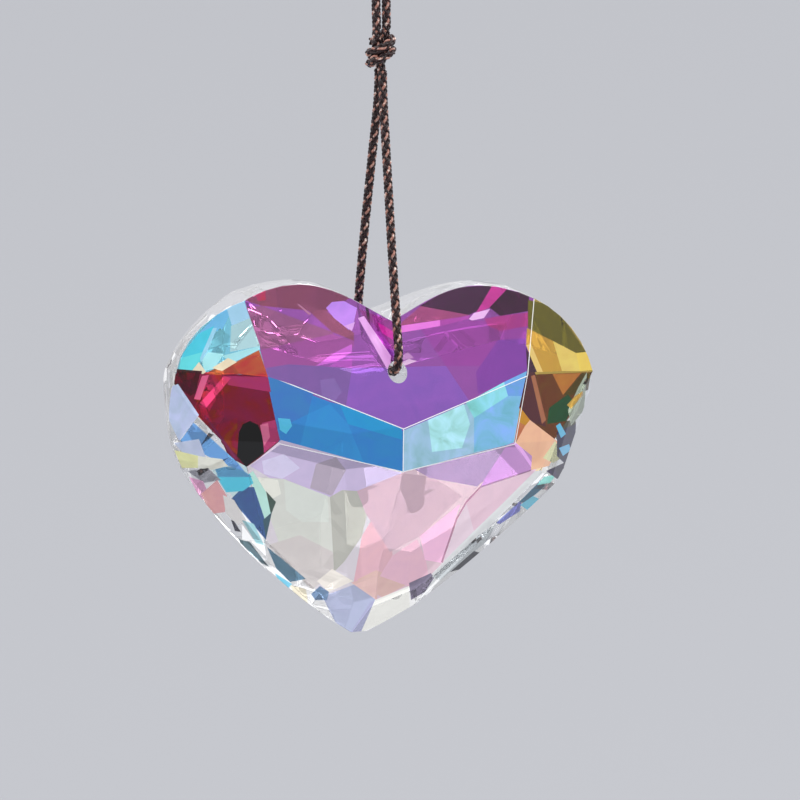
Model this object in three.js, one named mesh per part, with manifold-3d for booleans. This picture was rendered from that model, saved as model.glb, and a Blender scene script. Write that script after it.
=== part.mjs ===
// Crystal suncatcher: a cut-glass heart that hangs on a knotted braided cord.
// Millimetres, +Z up, the front of the heart faces -Y. The origin is the inside top of the hanging loop.
import * as THREE from "three";
import { mergeVertices } from "three/addons/utils/BufferGeometryUtils.js";
import Module from "manifold-3d";

const wasm = await Module();
wasm.setup();

// Sizes of the crystal
const heartWidth = 45; // twice the left half
const rightReach = 1.045; // how many times as wide the right half's outline is
const heartHeight = 36.3; // from the tops of the lobes to the tip
const frontDepth = 10; // from the middle of the rim to the ridge below the chevron
const backSet = 1.2; // the back is cut this much closer to the middle than the front
const holeDiameter = 2;
const holeSides = 32;
const holeBelowLobes = 8.05; // from the tops of the lobes down to the middle of the hole
const hangTilt = 4.9; // degrees that the heart hangs off square, its tip to the left

// Sizes of the cord
const cordDiameter = 1;
const cordSides = 8;
const cordStep = 2.2; // length of one straight piece of the cord's tube, in diameters
const touchGap = 0.3; // clear space between two solids that touch in the real object
const holeUnderLoop = 54; // from the inside top of the hanging loop down to the middle of the hole
const holeAside = -0.6; // the hole's place in X, beside the line through the hanging loop

// Sizes of the overhand knot
const knotHeight = 3.6;
const knotMiddle = -22; // height of its middle
const underKnot = knotMiddle - knotHeight / 2 - touchGap; // where the strands end
const overKnot = knotMiddle + knotHeight / 2 + touchGap; // where the hanging loop ends
const knotCore = 1.05; // radius of the strands inside its turns
const turnThickness = 0.62; // half the thickness of a turn

// Half of the heart's outline, from the notch over the right lobe to the tip. Each place is a share of half the
// width outwards and a share of the height down from the tops of the lobes.
const notch = [0, 0.092];
const lobeTop = [0.427, 0];
const widest = [1, 0.299];
const shoulder = [0.907, 0.53];
const tip = [0.045, 0.992];
const outlineCurves = [
  { from: notch, bends: [[0.098, 0.067], [0.249, 0]], to: lobeTop },
  { from: lobeTop, bends: [[0.707, 0], [1, 0.139]], to: widest },
  { from: widest, bends: [[1, 0.382], [0.969, 0.467]], to: shoulder },
  { from: shoulder, bends: [[0.756, 0.66], [0.422, 0.866]], to: tip },
];
const stepsPerCurve = 10;

// The cuts of one face. Each is a plane whose depth in front of the middle, in shares of the front's depth, is
// level at the tops of the lobes, and changes by out for half the width and by down for the whole height.
// A cut is made on both halves, or on the one that its sides name: 1 is the right half and -1 the left.
const both = [1, -1];
const cuts = {
  table: { sides: [1], level: 0.187, out: 0, down: 1.997 },
  chevron: { sides: both, level: 0.666, out: -0.283, down: 0.69 },
  lowerFace: { sides: both, level: 1.702, out: -0.535, down: -1.452 },
  upperSide: { sides: both, level: 1.094, out: -1.273, down: 1.529 },
  lowerSide: { sides: both, level: 1.318, out: -1.217, down: 0.399 },
  corner: { sides: both, level: 1.645, out: -1.175, down: -0.449 },
  upperRim: { sides: both, level: 3.149, out: -2.631, down: -1.123 },
  leftRim: { sides: [-1], level: 2.955, out: -2.313, down: -1.386 },
  rightRim: { sides: [1], level: 2.546, out: -2.039, down: -0.94 },
  rightBevel: { sides: [1], level: 2.562, out: -1.151, down: -2.287 },
  rightEdge: { sides: [1], level: 3.217, out: -1.602, down: -2.884 },
  rightTip: { sides: [1], level: 2.592, out: -0.753, down: -2.446 },
  leftBevel: { sides: [-1], level: 2.946, out: -1.743, down: -2.294 },
  leftFoot: { sides: [-1], level: 2.608, out: -1.024, down: -2.36 },
  leftToe: { sides: [-1], level: 4.551, out: -2.025, down: -4.222 },
  leftEdge: { sides: [-1], level: 3.953, out: -2.397, down: -3.22 },
  leftTip: { sides: [-1], level: 1.911, out: -0.45, down: -1.71 },
};

// The cord's route, chosen by hand. Each strand starts in the middle of the hole and ends under the knot.
const frontRoute = [
  [holeAside, -touchGap / 2, -54.3],
  [-0.6, -2.4, -54.3],
  [-0.6, -4.5, -54.3],
  [-0.6, -5.6, -54.03],
  [-0.6, -6.33, -53.3],
  [-0.6, -6.6, -52.3],
  [-0.58, -6.5, -51.5],
  [-0.52, -5.6, -47.8],
  [-0.4, -4.2, -41.9],
  [-0.25, -2.9, -36.3],
  [-0.12, -1.7, -31.2],
  [-0.04, -0.95, -28],
  [0, -0.62, -26],
  [0, -0.55, -24.8],
  [0, -0.55, underKnot],
];
const backRoute = [
  [holeAside, touchGap / 2, -54.3],
  [-0.6, 2.0, -54.3],
  [-0.6, 3.3, -54.3],
  [-0.6, 4.4, -54.03],
  [-0.6, 5.13, -53.3],
  [-0.6, 5.4, -52.3],
  [-0.58, 5.3, -51.5],
  [-0.47, 4.85, -47.8],
  [-0.33, 3.85, -41.9],
  [-0.18, 2.75, -36.3],
  [-0.07, 1.65, -31.2],
  [-0.02, 0.9, -28],
  [0, 0.62, -26],
  [0, 0.55, -24.8],
  [0, 0.55, underKnot],
];
const loopRoute = [
  [-0.42, 0, overKnot],
  [-0.5, 0, -17.5],
  [-0.55, 0, -14.8],
  [-0.95, 0, -12.4],
  [-2.0, 0, -9.6],
  [-3.1, 0, -6.8],
  [-3.6, 0, -4.1],
  [-3.1, 0, -1.5],
  [-1.7, 0, 0.05],
  [0, 0, 0.5],
  [1.7, 0, 0.05],
  [3.1, 0, -1.5],
  [3.6, 0, -4.1],
  [3.1, 0, -6.8],
  [2.0, 0, -9.6],
  [1.0, 0, -12.4],
  [0.62, 0, -14.8],
  [0.6, 0, -17.5],
  [0.62, 0, overKnot],
];

const glass = new THREE.MeshStandardMaterial({ color: 0xb9a3c9, roughness: 0.03, metalness: 0 });
const braid = new THREE.MeshStandardMaterial({ color: 0x4a2620, roughness: 0.55, metalness: 0 });

function toSolid(geometry) {
  const bare = geometry.clone();
  bare.deleteAttribute("normal");
  bare.deleteAttribute("uv");
  const merged = mergeVertices(bare, 1e-4);
  const vertProperties = new Float32Array(merged.attributes.position.array);
  const triVerts = new Uint32Array(merged.index.array);
  return new wasm.Manifold(new wasm.Mesh({ numProp: 3, vertProperties, triVerts }));
}

function toGeometry(solid) {
  const mesh = solid.getMesh();
  const geometry = new THREE.BufferGeometry();
  geometry.setAttribute("position", new THREE.BufferAttribute(mesh.vertProperties, 3));
  geometry.setIndex(new THREE.BufferAttribute(mesh.triVerts, 1));
  return geometry.toNonIndexed();
}

function named(name, geometry, material) {
  geometry.computeVertexNormals();
  const mesh = new THREE.Mesh(geometry, material);
  mesh.name = name;
  return mesh;
}

// A place of the outline in millimetres, X outwards and Z up, measured from the middle of the hole.
function outlinePlace([out, down]) {
  return new THREE.Vector2((out * heartWidth) / 2, holeBelowLobes - down * heartHeight);
}

// The points of half of the outline, from the notch to the tip, both halves taken as equally wide.
function halfOutline() {
  const points = [outlinePlace(notch)];
  for (const { from, bends, to } of outlineCurves) {
    const curve = new THREE.CubicBezierCurve(...[from, ...bends, to].map(outlinePlace));
    points.push(...curve.getPoints(stepsPerCurve).slice(1));
  }
  return points;
}

// The heart before it is cut: its outline, wider on the right, and thick enough for both faces.
function heartBlank() {
  const right = halfOutline();
  const left = right.slice(1).reverse().map((p) => new THREE.Vector2(-p.x, p.y));
  for (const p of right) p.x *= rightReach;
  const blank = new THREE.ExtrudeGeometry(new THREE.Shape([...right, ...left]), {
    depth: 2 * frontDepth,
    bevelEnabled: false,
  });
  blank.translate(0, 0, -frontDepth);
  blank.rotateX(Math.PI / 2);
  return toSolid(blank);
}

// A block whose one face lies on a cut, and which covers all that the cut takes off.
// side is 1 for the right half and -1 for the left, and face is 1 for the front and -1 for the back.
function cutter(cut, side, face) {
  const size = 2 * (heartWidth + heartHeight + frontDepth);
  const slopeOut = (cut.out * frontDepth) / (heartWidth / 2);
  const slopeDown = (cut.down * frontDepth) / heartHeight;
  const depth = cut.level * frontDepth - (face === 1 ? 0 : backSet);
  const outward = new THREE.Vector3(-slopeOut * side, -face, slopeDown).normalize();
  const block = new THREE.BoxGeometry(size, size, size).translate(0, 0, size / 2);
  block.applyQuaternion(new THREE.Quaternion().setFromUnitVectors(new THREE.Vector3(0, 0, 1), outward));
  block.translate(0, -face * depth, holeBelowLobes);
  return toSolid(block);
}

function holeDrill() {
  const length = 2 * (frontDepth + holeDiameter);
  return toSolid(new THREE.CylinderGeometry(holeDiameter / 2, holeDiameter / 2, length, holeSides));
}

function crystalHeart() {
  let heart = heartBlank();
  for (const cut of Object.values(cuts)) {
    for (const side of cut.sides) {
      heart = heart.subtract(cutter(cut, side, 1));
      heart = heart.subtract(cutter(cut, side, -1));
    }
  }
  heart = heart.subtract(holeDrill());
  const mesh = named("crystal_heart", toGeometry(heart), glass);
  mesh.rotation.y = THREE.MathUtils.degToRad(hangTilt);
  mesh.position.set(holeAside, 0, -holeUnderLoop);
  return mesh;
}

function cordSection() {
  const corners = [];
  for (let i = 0; i < cordSides; i++) {
    const angle = (2 * Math.PI * (i + 0.5)) / cordSides;
    corners.push(new THREE.Vector2(Math.cos(angle), Math.sin(angle)).multiplyScalar(cordDiameter / 2));
  }
  return new THREE.Shape(corners);
}

function cordStretch(name, route) {
  const path = new THREE.CatmullRomCurve3(route.map((p) => new THREE.Vector3(...p)), false, "centripetal");
  const steps = Math.ceil(path.getLength() / (cordStep * cordDiameter));
  const tube = new THREE.ExtrudeGeometry(cordSection(), { extrudePath: path, steps, bevelEnabled: false });
  return named(name, tube, braid);
}

// One turn of the knot: a ring around the core, raised or lowered, set aside and leaning. Its radius and the
// amount aside are shares of the core's radius, and the amount up is a share of the knot's height.
function knotTurn({ radius, up, aside, lean, twist }) {
  const ring = new THREE.TorusGeometry(radius * knotCore, turnThickness, 10, 20);
  ring.rotateY(THREE.MathUtils.degToRad(lean));
  ring.rotateZ(THREE.MathUtils.degToRad(twist));
  ring.translate(aside * knotCore, 0, knotMiddle + up * knotHeight);
  return toSolid(ring);
}

function overhandKnot() {
  const core = new THREE.CylinderGeometry(knotCore, knotCore, knotHeight, 12);
  core.rotateX(Math.PI / 2);
  core.translate(0, 0, knotMiddle);
  const turns = [
    { radius: 1, up: 0.17, aside: -0.05, lean: 24, twist: 20 },
    { radius: 1.05, up: -0.15, aside: -0.14, lean: -26, twist: -30 },
    { radius: 0.9, up: 0.03, aside: 0.14, lean: 52, twist: 75 },
  ];
  let knot = toSolid(core);
  for (const turn of turns) knot = knot.add(knotTurn(turn));
  return named("cord_knot", toGeometry(knot), braid);
}

const suncatcher = new THREE.Group();
suncatcher.add(crystalHeart());
suncatcher.add(cordStretch("cord_front_strand", frontRoute));
suncatcher.add(cordStretch("cord_back_strand", backRoute));
suncatcher.add(overhandKnot());
suncatcher.add(cordStretch("cord_hanging_loop", loopRoute));

export default suncatcher;
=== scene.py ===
"""The looks of a crystal suncatcher: a cut-glass heart with a rainbow coating, hung on a knotted cord."""

import logging
import math
from dataclasses import dataclass, field, replace
from enum import Enum
from functools import cached_property, lru_cache
from typing import Iterable, Sequence

import bmesh
import bpy
from mathutils import Matrix, Vector


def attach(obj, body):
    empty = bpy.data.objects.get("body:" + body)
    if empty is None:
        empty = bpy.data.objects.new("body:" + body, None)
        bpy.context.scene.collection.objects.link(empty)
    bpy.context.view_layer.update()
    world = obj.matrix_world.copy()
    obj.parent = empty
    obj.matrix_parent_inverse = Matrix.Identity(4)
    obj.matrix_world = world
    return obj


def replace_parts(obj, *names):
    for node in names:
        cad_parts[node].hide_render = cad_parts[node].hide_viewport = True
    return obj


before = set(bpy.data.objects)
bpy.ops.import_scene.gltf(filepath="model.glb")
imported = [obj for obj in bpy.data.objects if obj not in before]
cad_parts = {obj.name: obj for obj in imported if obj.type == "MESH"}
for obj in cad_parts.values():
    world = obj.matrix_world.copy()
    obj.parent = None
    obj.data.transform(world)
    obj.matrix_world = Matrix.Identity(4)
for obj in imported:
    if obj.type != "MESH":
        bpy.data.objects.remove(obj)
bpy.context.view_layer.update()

LOG = logging.getLogger("suncatcher")
MM = 0.001
PICTURE_SIDE = 800  # pixels along each side of the picture

Place = tuple[float, float]  # on a flat drawing or on the picture
Edge = tuple[Place, Place]
Point = tuple[float, float, float]
Shade = tuple[float, float, float]  # red, green and blue in linear light
Value = float | tuple[float, ...] | bpy.types.NodeSocket


# Small helpers


def deselect() -> None:
    """Leave object mode with nothing selected."""
    if bpy.context.object and bpy.context.object.mode != "OBJECT":
        bpy.ops.object.mode_set(mode="OBJECT")
    bpy.ops.object.select_all(action="DESELECT")


def pick(piece: bpy.types.Object, *others: bpy.types.Object) -> None:
    """Select a piece and make it active.

    Args:
        piece: The piece that operators act on.
        others: More pieces to select with it.
    """
    deselect()
    for each in (piece, *others):
        each.select_set(True)
    bpy.context.view_layer.objects.active = piece


def settle(piece: bpy.types.Object) -> None:
    """Apply a piece's place, turn and size to its mesh.

    Args:
        piece: The piece.
    """
    pick(piece)
    bpy.ops.object.transform_apply(location=True, rotation=True, scale=True)
    deselect()


def put_in_order(piece: bpy.types.Object) -> None:
    """Number a mesh's points and faces by place, since operators leave them in a different order each run.

    Args:
        piece: The piece, which keeps its shape.
    """
    mesh = piece.data
    order = sorted(range(len(mesh.vertices)), key=lambda i: tuple(mesh.vertices[i].co))
    number = {old: new for new, old in enumerate(order)}
    places = [tuple(mesh.vertices[i].co) for i in order]
    faces: list[list[int]] = []
    for polygon in mesh.polygons:
        ring = [number[i] for i in polygon.vertices]
        first = ring.index(min(ring))
        faces.append(ring[first:] + ring[:first])
    mesh.clear_geometry()
    mesh.from_pydata(places, [], sorted(faces))
    mesh.update()


def linear(code: str) -> Shade:
    """Turn a colour code into linear light, by the curve that screens use.

    Args:
        code: Six hexadecimal digits, as a colour picker shows them.

    Returns:
        Red, green and blue in linear light.
    """
    straight_below, slope, lift, power = 0.04045, 12.92, 0.055, 2.4
    parts = [int(code[i : i + 2], 16) / 255 for i in (0, 2, 4)]
    return tuple(c / slope if c <= straight_below else ((c + lift) / (1 + lift)) ** power for c in parts)


def opaque(code: str) -> tuple[float, float, float, float]:
    """Turn a colour code into linear light with full cover."""
    return (*linear(code), 1.0)


# The viewing angle


@dataclass(frozen=True)
class ViewingAngle:
    """Where the picture is taken from, and the places that its pixels stand for."""

    azimuth: float = -21.0
    elevation: float = 13.2
    aim: Point = (-0.6 * MM, -7.0 * MM, -56.75 * MM)
    distance: float = 2.0
    width: float = 80.76 * MM
    sensor: float = 36.0
    nearest: float = 0.1
    farthest: float = 50.0

    @cached_property
    def ahead(self) -> Vector:
        """The direction that the camera looks in."""
        a, e = math.radians(self.azimuth), math.radians(self.elevation)
        return Vector((-math.sin(a) * math.cos(e), math.cos(a) * math.cos(e), -math.sin(e)))

    @cached_property
    def right(self) -> Vector:
        """The direction to the right across the picture."""
        return self.ahead.cross(Vector((0, 0, 1))).normalized()

    @cached_property
    def up(self) -> Vector:
        """The direction up the picture."""
        return self.right.cross(self.ahead)

    @cached_property
    def eye(self) -> Vector:
        """The camera's place."""
        return Vector(self.aim) - self.ahead * self.distance

    def place(self, pixel: Place) -> Vector:
        """Give the point that a pixel shows on the plane through the aim.

        Args:
            pixel: Columns from the left and rows from the top.

        Returns:
            The point in metres.
        """
        step = self.width / PICTURE_SIDE
        across, down = pixel[0] - PICTURE_SIDE / 2, pixel[1] - PICTURE_SIDE / 2
        return Vector(self.aim) + self.right * across * step - self.up * down * step

    def pixel(self, point: Vector) -> Place:
        """Give the pixel that shows a point.

        Args:
            point: A point in metres.

        Returns:
            Columns from the left and rows from the top.
        """
        ray = point - self.eye
        ray *= self.distance / ray.dot(self.ahead)
        step = self.width / PICTURE_SIDE
        return (
            PICTURE_SIDE / 2 + ray.dot(self.right) / step,
            PICTURE_SIDE / 2 - ray.dot(self.up) / step,
        )

    def make_camera(self) -> None:
        """Make the camera and give it to the scene."""
        data = bpy.data.cameras.new("camera")
        data.sensor_width = self.sensor
        data.lens = self.sensor * self.distance / self.width
        data.clip_start, data.clip_end = self.nearest, self.farthest
        camera = bpy.data.objects.new("camera", data)
        bpy.context.scene.collection.objects.link(camera)
        camera.location = self.eye
        camera.rotation_euler = self.ahead.to_track_quat("-Z", "Y").to_euler()
        bpy.context.scene.camera = camera


VIEW = ViewingAngle()


@lru_cache(maxsize=None)
def spot_of(point: Point) -> Place:
    """Give the pixel that shows a point of the heart, and remember it."""
    return VIEW.pixel(Vector(point))


# Shader nodes


def feed(tree: bpy.types.NodeTree, node: bpy.types.Node, values: dict[str | int, Value]) -> None:
    """Fill in a node's inputs.

    Args:
        tree: The tree that the node is in.
        node: The node.
        values: For each input, by its name or number, a plain value or the output of another node.
    """
    for name, value in values.items():
        if isinstance(value, bpy.types.NodeSocket):
            tree.links.new(value, node.inputs[name])
        else:
            node.inputs[name].default_value = value


def add_node(
    tree: bpy.types.NodeTree, kind: str, values: dict[str | int, Value] | None = None, **settings: object
) -> bpy.types.Node:
    """Add a node to a tree.

    Args:
        tree: The tree.
        kind: The node's type, without ShaderNode before it.
        values: What its inputs get, as in feed.
        settings: Its other settings by name.

    Returns:
        The node.
    """
    node = tree.nodes.new(f"ShaderNode{kind}")
    for name, setting in settings.items():
        setattr(node, name, setting)
    feed(tree, node, values or {})
    return node


def calculate(tree: bpy.types.NodeTree, operation: str, *values: Value) -> bpy.types.NodeSocket:
    """Add a sum to a tree.

    Args:
        tree: The tree.
        operation: What it does with its values, in capitals.
        values: Plain values, or the outputs of other nodes.

    Returns:
        The output with the result.
    """
    return add_node(tree, "Math", dict(enumerate(values)), operation=operation).outputs[0]


def new_material(name: str, values: dict[str, Value]) -> bpy.types.Material:
    """Make a material and fill in its shader.

    Args:
        name: The material's name.
        values: Plain values for the shader's inputs, by name.

    Returns:
        The material.
    """
    material = bpy.data.materials.new(name)
    material.use_nodes = True
    feed(material.node_tree, material.node_tree.nodes["Principled BSDF"], values)
    return material


@dataclass(frozen=True)
class SoftClouds:
    """A node group that clouds a colour, so that it changes softly over a surface."""

    scale: float = 200.0
    depth: float = 0.2
    drift: float = 0.02
    detail: float = 4.0
    distortion: float = 1.2
    noise_middle: float = 0.5
    hue_unturned: float = 0.5

    def make(self) -> bpy.types.NodeTree:
        """Make the group.

        Returns:
            A group that takes Color, Scale, Depth and Drift, and gives Color and Mask.
        """
        group = bpy.data.node_groups.new("soft_clouds", "ShaderNodeTree")
        for name, way, kind, value in (
            ("Color", "INPUT", "Color", None),
            ("Scale", "INPUT", "Float", self.scale),
            ("Depth", "INPUT", "Float", self.depth),
            ("Drift", "INPUT", "Float", self.drift),
            ("Color", "OUTPUT", "Color", None),
            ("Mask", "OUTPUT", "Float", None),
        ):
            made = group.interface.new_socket(name=name, in_out=way, socket_type=f"NodeSocket{kind}")
            if value is not None:
                made.default_value = value
        given = group.nodes.new("NodeGroupInput").outputs
        noise_values = {
            "Vector": add_node(group, "TexCoord").outputs["Object"],
            "Scale": given["Scale"],
            "Detail": self.detail,
            "Distortion": self.distortion,
        }
        noise = add_node(group, "TexNoise", noise_values).outputs["Fac"]
        swing = calculate(group, "SUBTRACT", noise, self.noise_middle)
        turn_share = calculate(group, "MULTIPLY", given["Drift"], given["Depth"])
        shift_values = {
            "Hue": calculate(group, "MULTIPLY_ADD", swing, turn_share, self.hue_unturned),
            "Value": calculate(group, "MULTIPLY_ADD", swing, given["Depth"], 1.0),
            "Color": given["Color"],
        }
        shifted = add_node(group, "HueSaturation", shift_values).outputs["Color"]
        feed(group, group.nodes.new("NodeGroupOutput"), {"Color": shifted, "Mask": noise})
        return group


# Finishes


@dataclass(frozen=True)
class CoatedGlass:
    """Clear cut glass whose facets carry a rainbow coating and painted reflections; with little transmission
    it also makes the painted glints.
    """

    name: str = "coated_glass"
    transmission: float = 1.0
    mirror: float = 0.3
    refraction: float = 1.52
    roughness: float = 0.0
    cloud_scale: float = 380.0
    cloud_drift: float = 0.12
    attribute: str = "coating"

    def make(self, clouds: bpy.types.NodeTree) -> bpy.types.Material:
        """Make the material, whose coating colours light on its way in and not within the glass.

        Args:
            clouds: The group that clouds a colour.

        Returns:
            The material.
        """
        shader_values = {
            "Transmission Weight": self.transmission,
            "Specular IOR Level": self.mirror,
            "IOR": self.refraction,
            "Roughness": self.roughness,
        }
        material = new_material(self.name, shader_values)
        tree = material.node_tree
        coat = add_node(tree, "Attribute", attribute_name=self.attribute).outputs
        cloud_values = {
            "Color": coat["Color"],
            "Scale": self.cloud_scale,
            "Depth": coat["Alpha"],
            "Drift": self.cloud_drift,
        }
        mix_values = {
            "Factor": add_node(tree, "NewGeometry").outputs["Backfacing"],
            "A": add_node(tree, "Group", cloud_values, node_tree=clouds).outputs["Color"],
            "B": opaque("ffffff"),
        }
        mix = add_node(tree, "Mix", mix_values, data_type="RGBA")
        feed(tree, tree.nodes["Principled BSDF"], {"Base Color": mix.outputs["Result"]})
        return material


@dataclass(frozen=True)
class PlainGlass:
    """Glass without a coating, as in the drilled hole; white and nearly opaque, it is also the painted
    highlight along the edges round the chevron.
    """

    name: str
    colour: str = "f8f8fa"
    transmission: float = 1.0
    refraction: float = 1.52
    roughness: float = 0.2

    def make(self) -> bpy.types.Material:
        """Make the material.

        Returns:
            The material.
        """
        shader_values = {
            "Base Color": opaque(self.colour),
            "Transmission Weight": self.transmission,
            "IOR": self.refraction,
            "Roughness": self.roughness,
        }
        return new_material(self.name, shader_values)


@dataclass(frozen=True)
class YarnFinish:
    """Polished yarn with flecks: on the dark yarn a tone of its own, on the copper yarn near-white painted
    glints.
    """

    name: str
    dark: str
    # the flecks' colour, which on the copper yarn is a near-white painted glint
    copper: str
    roughness: float = 0.36
    sheen: float = 0.08
    sheen_roughness: float = 0.4
    fleck_scale: float = 2600.0
    fleck_depth: float = 0.5
    fleck_drift: float = 0.02
    flecks_from: float = 0.52
    flecks_full: float = 0.68

    def make(self, clouds: bpy.types.NodeTree) -> bpy.types.Material:
        """Make the material.

        Args:
            clouds: The group that clouds a colour.

        Returns:
            The material.
        """
        shader_values = {
            "Roughness": self.roughness,
            "Sheen Weight": self.sheen,
            "Sheen Roughness": self.sheen_roughness,
        }
        material = new_material(self.name, shader_values)
        tree = material.node_tree
        cloud_values = {
            "Color": opaque(self.dark),
            "Scale": self.fleck_scale,
            "Depth": self.fleck_depth,
            "Drift": self.fleck_drift,
        }
        cloud = add_node(tree, "Group", cloud_values, node_tree=clouds).outputs
        mask_values = {"Value": cloud["Mask"], "From Min": self.flecks_from, "From Max": self.flecks_full}
        mask = add_node(tree, "MapRange", mask_values).outputs["Result"]
        mix_values = {"Factor": mask, "A": cloud["Color"], "B": opaque(self.copper)}
        mix = add_node(tree, "Mix", mix_values, data_type="RGBA")
        feed(tree, tree.nodes["Principled BSDF"], {"Base Color": mix.outputs["Result"]})
        return material


# The studio


@dataclass(frozen=True)
class Lamp:
    """A square lamp that faces the heart. Its place and side are in metres, and its power in watts."""

    name: str
    place: Point
    side: float
    power: float

    def build(self) -> None:
        """Make the lamp."""
        data = bpy.data.lights.new(self.name, "AREA")
        data.size, data.energy = self.side, self.power
        lamp = bpy.data.objects.new(self.name, data)
        bpy.context.scene.collection.objects.link(lamp)
        lamp.location = self.place
        lamp.rotation_euler = (Vector(VIEW.aim) - Vector(self.place)).to_track_quat("-Z", "Y").to_euler()


@dataclass
class Studio:
    """A pale floor far below the part, a pale room that is brighter overhead and behind, and soft lamps."""

    floor_height: float = -0.30
    floor_side: float = 40.0
    floor_colour: str = "acadb1"
    floor_roughness: float = 0.8
    room_colour: str = "e2e3e6"
    wall_strength: float = 0.82
    ceiling_strength: float = 1.5
    dim_below: float = 0.05
    bright_above: float = 0.75
    front_share: float = 0.7
    back_share: float = 1.25
    front_to_back: float = 0.7
    lamps: tuple[Lamp, ...] = (
        Lamp("key_lamp", (-0.3, -0.9, 1.4), 0.6, 10.0),
        Lamp("right_lamp", (1.2, -0.3, 0.5), 0.3, 5.0),
        Lamp("back_lamp", (0.9, 1.4, 0.9), 0.4, 2.0),
    )

    def build(self) -> None:
        """Make the floor, the room's light and the lamps."""
        self._floor()
        self._room()
        for lamp in self.lamps:
            lamp.build()

    def _floor(self) -> None:
        """Make the floor."""
        deselect()
        bpy.ops.mesh.primitive_plane_add(size=self.floor_side, location=(0, 0, self.floor_height))
        floor = bpy.context.object
        floor.name = "floor"
        shader_values = {"Base Color": opaque(self.floor_colour), "Roughness": self.floor_roughness}
        floor.data.materials.append(new_material("pale_floor", shader_values))

    def _room(self) -> None:
        """Light the room, its ceiling brighter than its walls and its back brighter than its front."""
        world = bpy.data.worlds.new("room")
        bpy.context.scene.world = world
        world.use_nodes = True
        tree = world.node_tree
        where = add_node(tree, "SeparateXYZ", {0: add_node(tree, "TexCoord").outputs["Generated"]}).outputs
        height_values = {
            "Value": where["Z"],
            "From Min": self.dim_below,
            "From Max": self.bright_above,
            "To Min": self.wall_strength,
            "To Max": self.ceiling_strength,
        }
        depth_values = {
            "Value": where["Y"],
            "From Min": -self.front_to_back,
            "From Max": self.front_to_back,
            "To Min": self.front_share,
            "To Max": self.back_share,
        }
        height = add_node(tree, "MapRange", height_values, interpolation_type="SMOOTHSTEP").outputs["Result"]
        depth = add_node(tree, "MapRange", depth_values).outputs["Result"]
        strength = calculate(tree, "MULTIPLY", height, depth)
        feed(tree, tree.nodes["Background"], {"Color": opaque(self.room_colour), "Strength": strength})


# The cord


@dataclass(frozen=True)
class Route:
    """The places that a stretch of cord passes through, in millimetres."""

    places: tuple[Point, ...]
    steps_between: int = 24
    shortest: float = 1e-9

    def line(self, spacing: float) -> list[Vector]:
        """Run a smooth line through the places.

        Args:
            spacing: The distance between two points of the line, in metres.

        Returns:
            Points in metres at even distances, the first and last place among them.
        """
        knots = [Vector(p) * MM for p in self.places]
        knots = [2 * knots[0] - knots[1], *knots, 2 * knots[-1] - knots[-2]]
        fine: list[Vector] = []
        for near in zip(knots, knots[1:], knots[2:], knots[3:]):
            fine += [self._between(*near, i / self.steps_between) for i in range(self.steps_between)]
        fine.append(knots[-2])
        return even(fine, spacing)

    def _between(self, a: Vector, b: Vector, c: Vector, d: Vector, share: float) -> Vector:
        """Give a point of the smooth line between b and c.

        Args:
            a: The place before b.
            b: Where the share is 0.
            c: Where the share is 1.
            d: The place after c.
            share: How far from b to c, from 0 to 1.

        Returns:
            The point.
        """
        ta = 0.0
        tb = ta + math.sqrt(max((b - a).length, self.shortest))
        tc = tb + math.sqrt(max((c - b).length, self.shortest))
        td = tc + math.sqrt(max((d - c).length, self.shortest))
        t = tb + (tc - tb) * share
        ab = a.lerp(b, (t - ta) / (tb - ta))
        bc = b.lerp(c, (t - tb) / (tc - tb))
        cd = c.lerp(d, (t - tc) / (td - tc))
        abc = ab.lerp(bc, (t - ta) / (tc - ta))
        bcd = bc.lerp(cd, (t - tb) / (td - tb))
        return abc.lerp(bcd, (t - tb) / (tc - tb))


def even(points: Sequence[Vector], spacing: float) -> list[Vector]:
    """Space the points of a line evenly.

    Args:
        points: The line's points.
        spacing: The distance between two points of the result, in metres.

    Returns:
        New points on the same line.
    """
    lengths = [0.0]
    for a, b in zip(points, points[1:]):
        lengths.append(lengths[-1] + (b - a).length)
    count = max(2, round(lengths[-1] / spacing))
    result, at = [], 0
    for i in range(count + 1):
        goal = lengths[-1] * i / count
        while at < len(points) - 2 and lengths[at + 1] < goal:
            at += 1
        span = lengths[at + 1] - lengths[at]
        result.append(points[at].lerp(points[at + 1], (goal - lengths[at]) / span if span else 0))
    return result


FRONT_EXIT: Point = (-0.6, -6.33, -53.3)  # where each strand has left the hole, in millimetres
BACK_EXIT: Point = (-0.6, 5.13, -53.3)
FRONT_ROUTE = Route(
    (
        *((-0.6, -0.15, -54.3), (-0.6, -2.4, -54.3), (-0.6, -4.5, -54.3), (-0.6, -5.6, -54.03)),
        FRONT_EXIT,
        *((-0.6, -6.6, -52.3), (-0.58, -6.5, -51.5), (-0.52, -5.6, -47.8), (-0.4, -4.2, -41.9)),
        *((-0.25, -2.9, -36.3), (-0.12, -1.7, -31.2), (-0.04, -0.95, -28), (0, -0.62, -26)),
        *((0, -0.55, -24.8), (0, -0.55, -24.1)),
    )
)
BACK_ROUTE = Route(
    (
        *((-0.6, 0.15, -54.3), (-0.6, 2.0, -54.3), (-0.6, 3.3, -54.3), (-0.6, 4.4, -54.03)),
        BACK_EXIT,
        *((-0.6, 5.4, -52.3), (-0.58, 5.3, -51.5), (-0.47, 4.85, -47.8), (-0.33, 3.85, -41.9)),
        *((-0.18, 2.75, -36.3), (-0.07, 1.65, -31.2), (-0.02, 0.9, -28), (0, 0.62, -26)),
        *((0, 0.55, -24.8), (0, 0.55, -24.1)),
    )
)
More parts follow.
